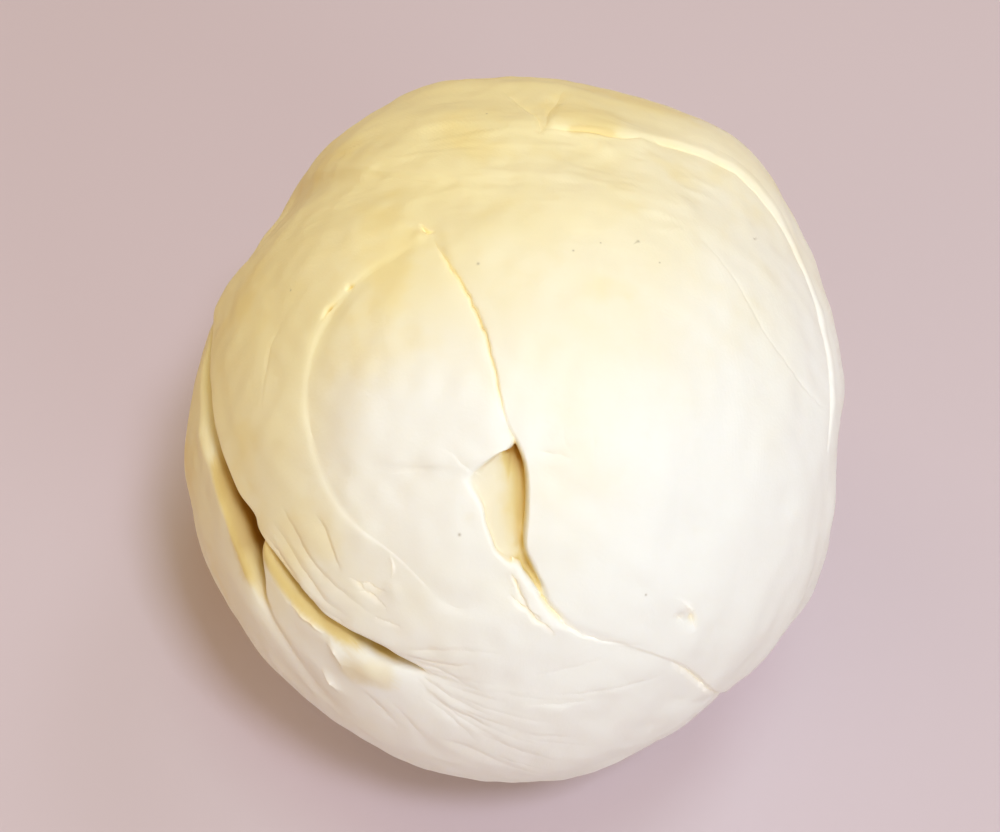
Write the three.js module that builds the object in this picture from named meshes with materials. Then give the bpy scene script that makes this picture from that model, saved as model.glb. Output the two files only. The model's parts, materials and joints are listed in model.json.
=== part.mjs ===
// A ball of Oaxaca cheese (quesillo): one long flat ribbon of stretched curd, wound like yarn.
//
// The ball stands on a small flat spot at z = 0. Millimetres, +Z up, -Y is the ball's front.
// Every winding of the ribbon is a round-edged sheet laid on the ball. The windings lap each
// other, and one closed skin is drawn over them all, since the real cheese is one solid.
import * as THREE from 'three';
import { mergeVertices } from 'three/addons/utils/BufferGeometryUtils.js';

// Driving dimensions, in millimetres.
const BALL_WIDTH = 110;
const BALL_DEPTH = 124;
const BALL_HEIGHT = 108; // of the whole round, before it is pressed flat where it rests
const REST_HEIGHT = 50.5; // the ball's middle above its flat spot
const REST_SOFTNESS = 2; // how gently the ball's round rolls into the flat spot
const REST_OVERLAP = 2.5; // the flattened underside would reach this far below the flat spot
const CORE_DEPTH = 7.5; // the innermost ball lies this far below the outer windings
const FACE_TILT = THREE.MathUtils.degToRad(50); // the face the windings start from looks this far up

// How finely the skin and the windings under it are divided.
const SKIN_DETAIL = 21; // 20 * (SKIN_DETAIL + 1) ** 2 triangles
const STEPS_ACROSS = 18;
const STEPS_PER_STATION = 4;
const PIN_REACH = 0.5; // a skin corner this share of a facet away from an edge is drawn onto it
const THINNEST_FACET = 0.15; // the least area a pinned facet may keep, as a share of an even one
const SOFTENING = 0.45; // how far each corner of the skin moves to its neighbours' height

// Directions on the ball are given as [reach, clock] in degrees. Reach is the angle away from
// the face's middle, and clock turns anticlockwise round it from the ball's right.
const FACE = new THREE.Vector3(0, -Math.cos(FACE_TILT), Math.sin(FACE_TILT));
const FACE_RIGHT = new THREE.Vector3(1, 0, 0);
const FACE_UP = new THREE.Vector3(0, Math.sin(FACE_TILT), Math.cos(FACE_TILT));

function direction([reach, clock]) {
  const r = THREE.MathUtils.degToRad(reach);
  const c = THREE.MathUtils.degToRad(clock);
  return FACE.clone()
    .multiplyScalar(Math.cos(r))
    .addScaledVector(FACE_RIGHT, Math.sin(r) * Math.cos(c))
    .addScaledVector(FACE_UP, Math.sin(r) * Math.sin(c));
}

// Soft rises and hollows of the whole ball: where, how wide in degrees, how high.
const SWELLS = [
  { at: [82, 50], spread: 15, height: 3.8 },
  { at: [82, 141], spread: 16, height: -3.0 },
  { at: [84, 303], spread: 20, height: -2.2 },
  { at: [84, 353], spread: 11, height: -3.2 },
  { at: [82, 110], spread: 10, height: 1.6 },
  { at: [85, 200], spread: 22, height: 1.2 },
].map(({ at, spread, height }) => ({
  middle: direction(at),
  spread: THREE.MathUtils.degToRad(spread),
  height,
}));

// The distance from the ball's middle to its outer surface.
function envelope(d) {
  const oval = Math.hypot(d.x / (BALL_WIDTH / 2), d.y / (BALL_DEPTH / 2), d.z / (BALL_HEIGHT / 2));
  let radius = 1 / oval;
  for (const { middle, spread, height } of SWELLS) {
    radius += height * Math.exp(-((d.angleTo(middle) / spread) ** 2));
  }
  if (d.z < 0) {
    const toFloor = (REST_HEIGHT + REST_OVERLAP) / -d.z;
    const over = (radius - toFloor) / REST_SOFTNESS;
    radius -= REST_SOFTNESS * Math.log1p(Math.exp(Math.min(over, 30)));
  }
  return radius;
}

// How far a surface has sunk at a distance from its rounded edge, as a quarter of an ellipse.
function edgeDrop(distance, round, drop) {
  const inward = 1 - Math.min(Math.max(distance / round, 0), 1);
  return drop * (1 - Math.sqrt(Math.max(1 - inward * inward, 0)));
}

// A value that changes evenly along a band, through any number of given values.
function along(values, t) {
  const place = Math.min(Math.max(t, 0), 1) * (values.length - 1);
  const first = Math.min(Math.floor(place), values.length - 2);
  return THREE.MathUtils.lerp(values[first], values[first + 1], place - first);
}

// A smooth line over the ball through the given directions.
function line(points) {
  const curve = new THREE.CatmullRomCurve3(points.map(direction), false, 'catmullrom', 0.5);
  return (t) => curve.getPoint(Math.min(Math.max(t, 0), 1)).normalize();
}

// An edge that runs out of sight under a neighbour: how wide it is rounded, and how far it sinks.
const TUCKED = { round: [13, 13], drop: [7, 7] };

// The windings, from the innermost to the outermost. Each goes from its start to its end
// between two edge lines, whose points are paired.
const WINDINGS = [
  {
    // The lowest winding, under the ball, which carries the flat spot.
    left: [[120, 150], [136, 125], [140, 90], [136, 55], [120, 30]],
    right: [[104, 222], [112, 246], [116, 268], [116, 290], [108, 312]],
    leftEdge: TUCKED,
    rightEdge: TUCKED,
    lift: [-3, -0.8, -0.8, -3],
    creases: [],
  },
  {
    // Round the back, from low on the left to low on the right.
    left: [
      [92, 222], [90, 196], [88, 168], [86, 140], [92, 114], [94, 88], [94, 62], [94, 36],
      [94, 10], [96, 344], [100, 322],
    ],
    right: [
      [134, 240], [142, 204], [148, 168], [152, 138], [154, 112], [154, 86], [152, 60],
      [149, 34], [145, 8], [140, 340], [132, 312],
    ],
    leftEdge: TUCKED,
    rightEdge: { round: [4, 4], drop: [5, 5] },
    lift: [-2, -0.5, -0.5, -0.5, -2],
    creases: ['right'],
  },
  {
    // The ring that shows at the ball's left, below the gap beside the broad winding.
    left: [
      [92, 128], [83, 148], [72, 168], [63, 183], [56, 195], [53, 207], [54, 219],
      [57, 233], [64, 250], [76, 268], [92, 286],
    ],
    right: [
      [122, 118], [118, 140], [115, 160], [112, 178], [110, 194], [109, 208], [109, 221],
      [111, 235], [116, 251], [122, 269], [128, 286],
    ],
    leftEdge: { round: [13, 7, 7, 7, 5, 10, 13], drop: [7, 7, 7, 7, 4, 5, 7] },
    rightEdge: { round: [4, 4], drop: [5, 5] },
    lift: [-2, -1, 0, 0, 0, 0, 0, -2],
    creases: ['left', 'right'],
  },
  {
    // The strand that comes out of that gap and spreads into the crescent along the bottom.
    left: [
      [49.5, 202], [48, 209], [45.5, 219], [43, 230], [41, 240], [37, 252], [33, 266],
      [35, 281], [44, 294], [60, 303], [84, 309],
    ],
    right: [
      [53, 205], [53.5, 212], [57, 220], [62, 231], [72, 242], [90, 252], [104, 264],
      [113, 278], [117, 292], [118, 304], [114, 315],
    ],
    leftEdge: { round: [2.5, 5, 8, 10, 10, 10, 10], drop: [5, 6, 5, 5, 5, 5, 5] },
    rightEdge: { round: [2, 3, 4, 9, 6, 4], drop: [3, 4, 4, 5, 5, 5] },
    lift: [-1.2, -0.4, 0, 0, 0, 0],
    creases: ['left', 'right'],
  },
  {
    // The strand on the floor of the pit.
    left: [[20, 150], [18, 190], [20, 225], [26, 250], [32, 264]],
    right: [[16, 60], [12, 10], [14, 320], [20, 296], [30, 290]],
    leftEdge: TUCKED,
    rightEdge: TUCKED,
    lift: [-3.4, -3.2, -3.2, -3.6],
    creases: [],
  },
  {
    // The flat winding at the left of the pit.
    left: [[44, 124], [43, 150], [41, 176], [39, 200], [38, 220], [37, 240], [35, 256], [34, 270]],
    right: [[24, 96], [6, 90], [4, 205], [8.5, 226], [12, 241], [16, 254], [20, 266], [25, 281]],
    leftEdge: TUCKED,
    rightEdge: { round: [10, 10, 4, 2.5, 2.5, 3, 5], drop: [6, 6, 4, 4, 4, 4, 4] },
    lift: [-1.2, -0.8, -0.5, -0.5, -0.6, -1],
    creases: ['right'],
  },
  {
    // The tongue between the broad winding and the right lobe, folded over the pit.
    left: [[46, 124], [44, 134], [43, 150], [40, 168], [34, 184], [26, 196], [18, 202], [11, 208]],
    right: [[38, 104], [28, 104], [18, 98], [10, 90], [4, 80], [2.5, 250], [5, 234], [9, 226]],
    leftEdge: { round: [13, 13, 13, 14, 12, 6], drop: [7, 7, 6, 2, 1.2, 1.5] },
    rightEdge: { round: [13, 13, 4, 3], drop: [7, 7, 4, 4] },
    lift: [-1.4, -0.6, -0.3, -0.1, 0.1],
    creases: ['right'],
  },
  {
    // The broad winding, down the left and then below the pit to the right.
    left: [
      [106, 126], [100, 138], [90, 150], [77, 161], [66, 170], [59, 180], [53, 190],
      [48.5, 199], [46.5, 208], [43.5, 219], [41, 231], [39, 244], [40, 258], [43, 274],
      [49, 289], [60, 300], [80, 307],
    ],
    right: [
      [52, 92], [40, 106], [35, 120], [36, 136], [36.5, 150], [36, 165], [34, 180],
      [31.5, 196], [29, 209], [26, 226], [26, 238], [28, 250], [24, 258], [18, 268],
      [22, 290], [34, 303], [52, 312],
    ],
    leftEdge: {
      round: [4, 4, 4, 4, 4, 3, 3, 5, 14, 16, 16, 14],
      drop: [6, 6, 6, 6, 6, 5, 5, 4, 1.6, 1.4, 1.6, 2],
    },
    rightEdge: {
      round: [13, 3, 2, 2, 2, 2, 2, 3, 8, 13, 13, 13],
      drop: [7, 3, 3, 3, 3, 3, 3, 3, 5, 6, 7, 7],
    },
    lift: [-3, 0, 0, 0, 0, 0, 0.1, 0, -1],
    creases: ['left', 'right'],
  },
  {
    // The right lobe, down to the crease where it rests on the crescent.
    left: [
      [54, 106], [42, 113], [32, 115], [20, 112.5], [11, 112], [5, 122], [2.5, 200],
      [4.5, 262], [12, 272], [19, 269], [25, 276], [32, 287], [40, 300], [52, 304],
      [67, 306], [90, 309],
    ],
    right: [
      [70, 76], [76, 60], [80, 45], [82, 32], [80, 20], [77, 10], [74, 2], [72, 354],
      [72, 348], [73, 342], [74, 337], [76, 332], [79, 327], [84, 322], [92, 317],
      [104, 314],
    ],
    leftEdge: {
      round: [13, 10, 3, 3, 4, 8, 8, 7, 7, 7, 6, 6, 6],
      drop: [7, 6, 5, 5, 7, 9, 9, 8, 7, 6, 5, 5, 6],
    },
    rightEdge: TUCKED,
    lift: [-3, -0.6, 0, 0.4, 0.4, 0.4, 0.2, 0, 0],
    creases: ['left'],
  },
  {
    // The crown, from low on the back over the top, pressed flat onto the right lobe.
    left: [
      [132, 178], [118, 160], [104, 142], [88, 135], [72, 129], [60, 122], [50, 116],
      [43, 108], [42, 96], [46, 84],
    ],
    right: [
      [142, 108], [136, 104], [124, 99], [108, 97], [96, 95], [86, 93], [77, 91], [71, 87],
      [66, 84], [62, 80],
    ],
    leftEdge: { round: [4, 4, 4, 4, 6, 12, 14], drop: [5, 5, 4, 4, 4, 2, 1.4] },
    rightEdge: TUCKED,
    lift: [0, 0, 0, 0, 0, -0.2, -0.6],
    creases: ['left'],
  },
  {
    // The outermost winding, over the back of the top and down the right, with its thin lip.
    left: [
      [62, 108], [58, 92], [58, 76], [65, 62], [68, 50], [70, 38], [71, 28], [67, 17],
      [62, 7], [59.5, 358], [60, 348], [66, 333], [80, 317], [100, 306],
    ],
    right: [
      [108, 108], [110, 94], [112, 80], [113, 66], [114, 53], [115, 39], [115, 26],
      [114, 14], [113, 3], [111, 353], [110, 341], [110, 328], [114, 314], [122, 303],
    ],
    leftEdge: { round: [14, 2, 2, 2, 2, 2, 2, 3, 8, 10, 6], drop: [6, 3, 3, 3, 3, 3, 3, 3, 4, 5, 5] },
    rightEdge: { round: [4, 4], drop: [5, 5] },
    lift: [-2.4, 0.4, 0.8, 0.6, 0.6, 0.6, 0.4, 0, 0],
    creases: ['left', 'right'],
  },
];

// The two ends of a winding thin out under their neighbours.
const END_TAPER = { round: 9, drop: 5 };

// The outer side of one winding, as a sheet laid on the ball between its two edge lines.
function windingSheet({ left, right, leftEdge, rightEdge, lift }) {
  const steps = left.length * STEPS_PER_STATION;
  const halfStep = 0.5 / steps;
  const sheet = new THREE.PlaneGeometry(1, 1, STEPS_ACROSS, steps);
  const leftLine = line(left);
  const rightLine = line(right);
  const { position } = sheet.attributes;
  for (let i = 0; i < position.count; i += 1) {
    const t = 0.5 - position.getY(i);
    const across = 0.5 + 0.5 * Math.sin(Math.PI * position.getX(i));
    const from = leftLine(t);
    const to = rightLine(t);
    const d = from.clone().lerp(to, across).normalize();
    const ball = envelope(d);
    const width = from.angleTo(to) * ball;
    const length = leftLine(t - halfStep).angleTo(leftLine(t + halfStep)) * steps * ball;
    const sunk =
      edgeDrop(across * width, along(leftEdge.round, t), along(leftEdge.drop, t)) +
      edgeDrop((1 - across) * width, along(rightEdge.round, t), along(rightEdge.drop, t)) +
      edgeDrop(Math.min(t, 1 - t) * length, END_TAPER.round, END_TAPER.drop);
    d.multiplyScalar(ball + along(lift, t) - sunk);
    position.setXYZ(i, d.x, d.y, d.z);
  }
  sheet.computeBoundingSphere();
  return new THREE.Mesh(sheet, new THREE.MeshBasicMaterial({ side: THREE.DoubleSide }));
}

// Draws skin directions that lie next to an edge line onto it, so that the skin creases there.
function pinToEdge(directions, points) {
  const edge = line(points);
  const facet = Math.sqrt((4 * Math.PI) / directions.length);
  const samples = points.length * STEPS_PER_STATION;
  for (let i = 0; i < samples; i += 1) {
    const from = edge(i / samples);
    const step = edge((i + 1) / samples).sub(from);
    const free = directions.filter((d) => !d.pinned && d.distanceTo(from) < 4 * facet);
    for (const d of free) {
      const share = THREE.MathUtils.clamp(d.clone().sub(from).dot(step) / step.lengthSq(), 0, 1);
      const near = from.clone().addScaledVector(step, share).normalize();
      const apart = near.angleTo(d);
      if (share > 0 && share < 1 && apart < facet * PIN_REACH) {
        d.copy(near);
        d.pinned = true;
      }
    }
  }
}

// Lets pinned directions go back to their homes where a facet would fold over or turn thin.
function releaseFolded(directions, homes, corners) {
  const fullArea = (8 * Math.PI) / (corners.length / 3);
  let folded = true;
  while (folded) {
    folded = false;
    for (let i = 0; i < corners.length; i += 3) {
      const own = [corners[i], corners[i + 1], corners[i + 2]];
      const [a, b, c] = own.map((at) => directions[at]);
      const thin = a.dot(b.clone().cross(c)) < fullArea * THINNEST_FACET;
      if (thin && own.some((at) => directions[at].pinned)) {
        folded = true;
        for (const at of own) {
          directions[at].copy(homes[at]);
          directions[at].pinned = false;
        }
      }
    }
  }
}

// The distance along a ray from the ball's middle to the last winding that it leaves, or to
// the core where it meets none.
function outermost(d, sheets) {
  const ray = new THREE.Raycaster(new THREE.Vector3(), d);
  const hits = ray.intersectObjects(sheets, false);
  return Math.max(envelope(d) - CORE_DEPTH, ...hits.map((hit) => hit.distance));
}

// Evens each radius out with its neighbours', as the soft curd does where windings meet.
function soften(radii, corners) {
  const sums = new Float64Array(radii.length);
  const counts = new Uint32Array(radii.length);
  for (let i = 0; i < corners.length; i += 3) {
    for (let side = 0; side < 3; side += 1) {
      sums[corners[i + side]] += radii[corners[i + ((side + 1) % 3)]];
      counts[corners[i + side]] += 1;
    }
  }
  return radii.map((radius, i) => THREE.MathUtils.lerp(radius, sums[i] / counts[i], SOFTENING));
}

// One closed skin over all the windings, cut off flat where it rests.
function skinGeometry() {
  const sphere = new THREE.IcosahedronGeometry(1, SKIN_DETAIL);
  sphere.deleteAttribute('normal');
  sphere.deleteAttribute('uv');
  const skin = mergeVertices(sphere, 1e-4);
  const { position } = skin.attributes;
  const directions = Array.from({ length: position.count }, (_, i) =>
    new THREE.Vector3().fromBufferAttribute(position, i).normalize(),
  );
  const homes = directions.map((d) => d.clone());
  for (const winding of WINDINGS.toReversed()) {
    for (const side of winding.creases) {
      pinToEdge(directions, winding[side]);
    }
  }
  releaseFolded(directions, homes, skin.index.array);
  const sheets = WINDINGS.map(windingSheet);
  const radii = soften(directions.map((d) => outermost(d, sheets)), skin.index.array);
  directions.forEach((d, i) => {
    const toFloor = d.z < 0 ? REST_HEIGHT / -d.z : Infinity;
    const rests = radii[i] >= toFloor;
    d.multiplyScalar(rests ? toFloor : radii[i]);
    position.setXYZ(i, d.x, d.y, rests ? -REST_HEIGHT : d.z);
  });
  return skin;
}

const cheeseGeometry = skinGeometry();
cheeseGeometry.translate(0, 0, REST_HEIGHT);
cheeseGeometry.computeBoundingBox();
const boxMiddle = cheeseGeometry.boundingBox.getCenter(new THREE.Vector3());
cheeseGeometry.translate(-boxMiddle.x, -boxMiddle.y, 0);
cheeseGeometry.computeVertexNormals();

const cheese = new THREE.Mesh(
  cheeseGeometry,
  new THREE.MeshStandardMaterial({ color: 0xf3ead0, roughness: 0.5, metalness: 0 }),
);
cheese.name = 'cheese_ball';

const group = new THREE.Group();
group.add(cheese);

export default group;
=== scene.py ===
import json
import math

import bpy
import numpy as np
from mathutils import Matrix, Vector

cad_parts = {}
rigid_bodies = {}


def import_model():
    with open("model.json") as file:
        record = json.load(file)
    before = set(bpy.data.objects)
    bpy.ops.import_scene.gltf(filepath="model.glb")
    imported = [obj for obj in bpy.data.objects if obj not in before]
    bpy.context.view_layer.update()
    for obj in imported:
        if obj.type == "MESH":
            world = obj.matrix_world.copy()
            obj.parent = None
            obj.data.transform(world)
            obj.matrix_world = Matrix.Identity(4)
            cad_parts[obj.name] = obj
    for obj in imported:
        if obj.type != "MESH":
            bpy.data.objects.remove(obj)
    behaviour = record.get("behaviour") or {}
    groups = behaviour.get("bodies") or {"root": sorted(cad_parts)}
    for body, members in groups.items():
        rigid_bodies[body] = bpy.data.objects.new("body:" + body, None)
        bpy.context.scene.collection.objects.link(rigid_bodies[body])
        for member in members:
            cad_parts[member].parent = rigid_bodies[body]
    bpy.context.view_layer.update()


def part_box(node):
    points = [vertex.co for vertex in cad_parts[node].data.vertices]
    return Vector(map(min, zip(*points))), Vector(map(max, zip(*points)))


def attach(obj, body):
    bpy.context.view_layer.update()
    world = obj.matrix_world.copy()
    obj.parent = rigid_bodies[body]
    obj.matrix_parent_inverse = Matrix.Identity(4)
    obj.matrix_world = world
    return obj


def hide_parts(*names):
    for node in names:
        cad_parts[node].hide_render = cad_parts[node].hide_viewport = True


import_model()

# ------------------------------------------------------------------ the heart of the ball
# The first turns of the ribbon, pressed together until they are one round mass of curd. It shows
# only at the bottom of the gaps between the outer turns. Every turn wound over it follows the
# same round, so the shape of the whole ball is worked out here, in millimetres.
MM = 0.001
REST = -50.5  # the flat spot the ball stands on, from its middle
ROUND = (55.0, 62.0, 54.0)  # half the ball's width, depth and height before it is pressed flat
MEAN = 56  # from the middle to the skin, on the whole
HEART_DEPTH = 7.5  # how far the heart lies under the skin
OFF = (0.33, 0.24)  # how far the ball's middle is off the middle of its box
low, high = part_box("cheese_ball")
middle = np.array([(low.x + high.x) / 2 + OFF[0] * MM, (low.y + high.y) / 2 + OFF[1] * MM,
                   low.z - REST * MM])

# A place on the ball is a reach and a clock, in degrees: the angle away from the middle of its
# face, and the turn round that middle, anticlockwise from the right.
tilt = math.radians(50)
FACE = np.array([0, -math.cos(tilt), math.sin(tilt)])
RIGHT = np.array([1.0, 0, 0])
UP = np.array([0, math.sin(tilt), math.cos(tilt)])


def place(reach, clock):
    """The direction of a place on the ball, or of many."""
    r, c = np.radians(reach), np.radians(clock)
    out = np.sin(r)
    return np.multiply.outer(np.cos(r), FACE) + np.multiply.outer(out * np.cos(c), RIGHT) \
        + np.multiply.outer(out * np.sin(c), UP)


# Soft rises and hollows of the whole ball: reach, clock, how wide in degrees, how high.
SWELLS = ((82, 50, 15, 3.2), (82, 141, 16, -3.0), (84, 303, 20, -2.2), (77, 353, 9, -2.4),
          (94, 352, 11, -3.4), (108, 352, 10, -1.8), (86, 329, 9, 1.3), (82, 110, 10, 1.2),
          (85, 200, 22, 1.2), (87, 230, 10, -0.9), (86, 270, 11, 0.8))


def swell(d, reach, clock, spread, height):
    """A soft rise or hollow, spread in degrees."""
    apart = np.arccos(np.clip(d @ place(reach, clock), -1, 1))
    return height * np.exp(-(apart / math.radians(spread)) ** 2)


def ball_radius(d):
    """From the ball's middle to its outer turns, in each direction d. The weight of the ball has
    pressed its underside flatter, with a soft bend all round."""
    radius = 1 / np.sqrt(((d / np.array(ROUND)) ** 2).sum(-1))
    for one in SWELLS:
        radius = radius + swell(d, *one)
    pressed_to, bend = 53, 2
    down = np.maximum(-d[..., 2], 1e-9)
    over = np.minimum((radius - pressed_to / down) / bend, 30)
    return np.where(d[..., 2] < 0, radius - bend * np.log1p(np.exp(over)), radius)


def settle(piece, points):
    """Gives a piece its points, in millimetres from the ball's middle, none below the flat spot."""
    points = points.copy()
    bend = 0.25
    above = (points[:, 2] - REST) / bend
    points[:, 2] = REST + bend * np.where(above > 20, above, np.log1p(np.exp(np.minimum(above, 20))))
    piece.data.vertices.foreach_set("co", (points * MM + middle).ravel())
    piece.data.update()


bpy.ops.object.select_all(action="DESELECT")
bpy.ops.mesh.primitive_ico_sphere_add(subdivisions=6, radius=1)
cheese = bpy.context.object
cheese.name = cheese.data.name = "pulled_curd_ball"
co = np.empty(len(cheese.data.vertices) * 3)
cheese.data.vertices.foreach_get("co", co)
co = co.reshape(-1, 3) / np.linalg.norm(co.reshape(-1, 3), axis=1, keepdims=True)
settle(cheese, co * (ball_radius(co) - HEART_DEPTH)[:, None])

# ------------------------------------------------------------------ the turn under the ball
# The ribbon itself: a flat band of hot curd, pulled until it is long and fibrous, and laid
# round the ball while it is warm. Its edges are round, and each turn sticks to the ones under
# it. This turn passes under the ball, where the ball's own weight has pressed it flat.
THICKNESS = 8.0
TUCKED = ([13], [7])  # an edge that goes in under the next turn
ROUNDED = 5  # how far in from its rim the underside of the ribbon is round
THINNEST = 0.4
turns = []


def smooth_line(stations, t):
    """The line through the stations, at shares t of its length, as directions."""
    p = place(*np.array(stations, float).T)
    n = len(p)
    x = np.clip(t, 0, 1) * (n - 1)
    i = np.minimum(x.astype(int), n - 2)
    f = (x - i)[:, None]
    b, c = p[i], p[i + 1]
    a = np.where((i > 0)[:, None], p[np.maximum(i - 1, 0)], 2 * b - c)
    e = np.where((i < n - 2)[:, None], p[np.minimum(i + 2, n - 1)], 2 * c - b)
    q = 0.5 * (2 * b + (c - a) * f + (2 * a - 5 * b + 4 * c - e) * f ** 2
               + (3 * b - a - 3 * c + e) * f ** 3)
    return q / np.linalg.norm(q, axis=1, keepdims=True)


def along(values, t):
    """Values given at even shares of a length, at the shares t."""
    return np.interp(t, np.linspace(0, 1, len(values)), values)


def fall(inward, reach, depth):
    """How far a round edge has fallen away, inward millimetres in from its rim."""
    k = 1 - np.clip(inward / reach, 0, 1)
    return depth * (1 - np.sqrt(np.clip(1 - k * k, 0, 1)))


def wind(name, left, right, left_edge, right_edge, lift, fineness, slope=(0, 0),
         thickness=THICKNESS, ends=(9, 5)):
    """One turn of the ribbon, between two lines of stations on the ball.

    An edge is how far in from the rim it starts to round, and how far it falls, at even shares
    of the turn's length. lift is the height over the ball, and fineness the size of the faces.
    slope is how far in from its left rim the turn starts to fall away, and how steeply. ends is
    how far in its two ends start to round, and how far they fall.
    """
    # how long and how wide it is, and so how many faces it has along, across and underneath
    t = np.linspace(0, 1, 900)
    a, b = smooth_line(left, t), smooth_line(right, t)
    path = (a + b) / np.linalg.norm(a + b, axis=1, keepdims=True)
    step = np.linalg.norm(np.diff(path * ball_radius(path)[:, None], axis=0), axis=1)
    gone = np.concatenate([[0], np.cumsum(step)])
    rings = max(12, int(gone[-1] / fineness))
    width = np.arccos(np.clip((a * b).sum(1), -1, 1)) * MEAN
    across = max(10, int(np.percentile(width, 80) * 1.25 / fineness))
    under = max(10, across // 8)
    loop = across + under + 2
    # a flat grid, with its columns to go round the ribbon and its rows along it
    bpy.ops.object.select_all(action="DESELECT")
    bpy.ops.mesh.primitive_grid_add(x_subdivisions=loop, y_subdivisions=rings - 1, size=2)
    piece = bpy.context.object
    piece.name = piece.data.name = name
    grid = np.empty(len(piece.data.vertices) * 3)
    piece.data.vertices.foreach_get("co", grid)
    grid = grid.reshape(-1, 3)
    spoke = np.rint((grid[:, 0] + 1) / 2 * loop).astype(int) % loop
    ring = np.rint((grid[:, 1] + 1) / 2 * (rings - 1)).astype(int)
    # which way each point of it lies, over the face of the ribbon and back underneath
    t = np.interp(np.linspace(0, gone[-1], rings), gone, t)
    gone = np.linspace(0, gone[-1], rings)[:, None]
    a, b = smooth_line(left, t), smooth_line(right, t)
    x = np.concatenate([np.linspace(0, 1, across + 1), np.linspace(1, 0, under + 3)[1:-1]])
    u = (0.5 - 0.5 * np.cos(np.pi * x))[None, :]
    d = a[:, None, :] * (1 - u[..., None]) + b[:, None, :] * u[..., None]
    d /= np.linalg.norm(d, axis=-1, keepdims=True)
    # how far in from each rim and end a point is, and how high that puts it
    ball = ball_radius(d)
    width = np.arccos(np.clip((a * b).sum(-1), -1, 1))[:, None] * ball
    in_left, in_right = u * width, (1 - u) * width
    in_end = np.minimum(gone, gone[-1] - gone) + 0 * u
    lw, lh = along(left_edge[0], t)[:, None], along(left_edge[1], t)[:, None]
    rw, rh = along(right_edge[0], t)[:, None], along(right_edge[1], t)[:, None]
    top = ball + along(lift, t)[:, None] - slope[1] * np.maximum(in_left - slope[0], 0)
    face = top - fall(in_left, lw, lh) - fall(in_right, rw, rh) - fall(in_end, *ends)
    under_left = lh + (thickness - lh) * np.sqrt(1 - (1 - np.clip(in_left / ROUNDED, 0, 1)) ** 2)
    under_right = rh + (thickness - rh) * np.sqrt(1 - (1 - np.clip(in_right / ROUNDED, 0, 1)) ** 2)
    back = np.minimum(top - np.minimum(under_left, under_right), face - THINNEST)
    radius = np.where(np.arange(loop)[None, :] <= across, face, back)
    settle(piece, (d * radius[..., None])[ring, spoke])
    # its first and last column meet, and its two ends are closed
    bpy.ops.object.mode_set(mode="EDIT")
    bpy.ops.mesh.select_all(action="SELECT")
    bpy.ops.mesh.remove_doubles(threshold=0.002 * MM)
    bpy.ops.mesh.select_all(action="SELECT")
    bpy.ops.mesh.fill_holes(sides=0)
    bpy.ops.mesh.normals_make_consistent(inside=False)
    bpy.ops.object.mode_set(mode="OBJECT")
    turns.append(piece)


wind("turn_under",
     left=[[120, 150], [136, 125], [140, 90], [136, 55], [120, 30]],
     right=[[104, 222], [112, 246], [116, 268], [116, 290], [108, 312]],
     left_edge=TUCKED, right_edge=TUCKED, lift=[-3, -0.8, -0.8, -3], fineness=1.4)

# ------------------------------------------------------------------ the turn across the back
# The same ribbon, laid across the back of the ball. It closes the ball behind, and its rims are
# tucked in under the turns beside it.
wind("turn_back",
     left=[[92, 222], [90, 196], [88, 168], [86, 140], [92, 114], [94, 88], [94, 62], [94, 36],
           [94, 10], [96, 344], [100, 322]],
     right=[[134, 240], [142, 204], [148, 168], [152, 138], [154, 112], [154, 86], [152, 60],
            [149, 34], [145, 8], [140, 340], [132, 312]],
     left_edge=TUCKED, right_edge=([4], [5]), lift=[-2, -0.5, -0.5, -0.5, -2], fineness=1.1)

# ------------------------------------------------------------------ the turn round the left
# A band that comes out from under the ball and shows its rolled inner rim beside a deep gap.
# The gap is the one place where the windings stand apart.
wind("turn_left",
     left=[[92, 128], [83, 148], [75, 164], [67, 176], [61, 184.5], [56.8, 191.5], [54.8, 198], [54.2, 204],
           [54.4, 211], [56, 222], [60, 236], [66, 252], [78, 268], [92, 286]],
     right=[[122, 118], [118, 140], [115, 160], [112, 178], [110, 194], [109, 208], [109, 221],
            [111, 235], [116, 251], [122, 269], [128, 286]],
     left_edge=([13, 8, 5, 4, 3, 2.4, 2, 1.8, 2, 3, 5, 8, 10, 13],
                [7, 6, 5, 4.2, 4, 4, 4, 3.6, 3.6, 4, 5, 6, 7, 7]),
     right_edge=([4], [5]), lift=[-2, -1, -0.2, 0, 0, 0, 0, -2], fineness=0.55)

# ------------------------------------------------------------------ the crescent at the bottom
# A narrow strand that starts in the corner of the gap, widens downwards and merges with the
# bottom of the ball, where it was stretched while warm.
wind("turn_crescent",
     left=[[46.8, 202.5], [47.2, 209], [46.7, 216], [45.9, 220.5], [45.0, 225], [43.6, 230], [43.4, 236],
           [42.2, 243], [40, 254], [36, 268], [37, 282], [45, 295], [60, 303], [84, 309]],
     right=[[48.6, 203.5], [51.4, 210.5], [53.6, 213], [55.4, 216], [57, 221], [58.5, 227], [63, 233],
            [72, 242], [90, 252], [104, 264], [113, 278], [117, 292], [118, 304], [114, 315]],
     left_edge=([1.2, 2, 3, 3.6, 3.8, 3.8, 3.4, 4.5, 12, 14, 14, 14, 14, 14],
                [1.6, 2, 2.3, 2.5, 2.5, 2.5, 2.5, 2, 1.2, 1, 1, 1, 1, 1]),
     right_edge=([1, 1.2, 1.6, 2, 3, 5, 8, 10, 8, 6, 4, 4, 4, 4],
                 [2, 2.2, 2.2, 2, 1.8, 1.5, 1.2, 1, 1, 2, 3, 4, 5, 5]),
     lift=[-0.7, -0.3, -0.2, -0.1, -0.1, -0.2, -0.3, -0.3, -0.2, -0.2, -0.1, 0, 0, 0], fineness=0.45,
     ends=(3, 3))

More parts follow.
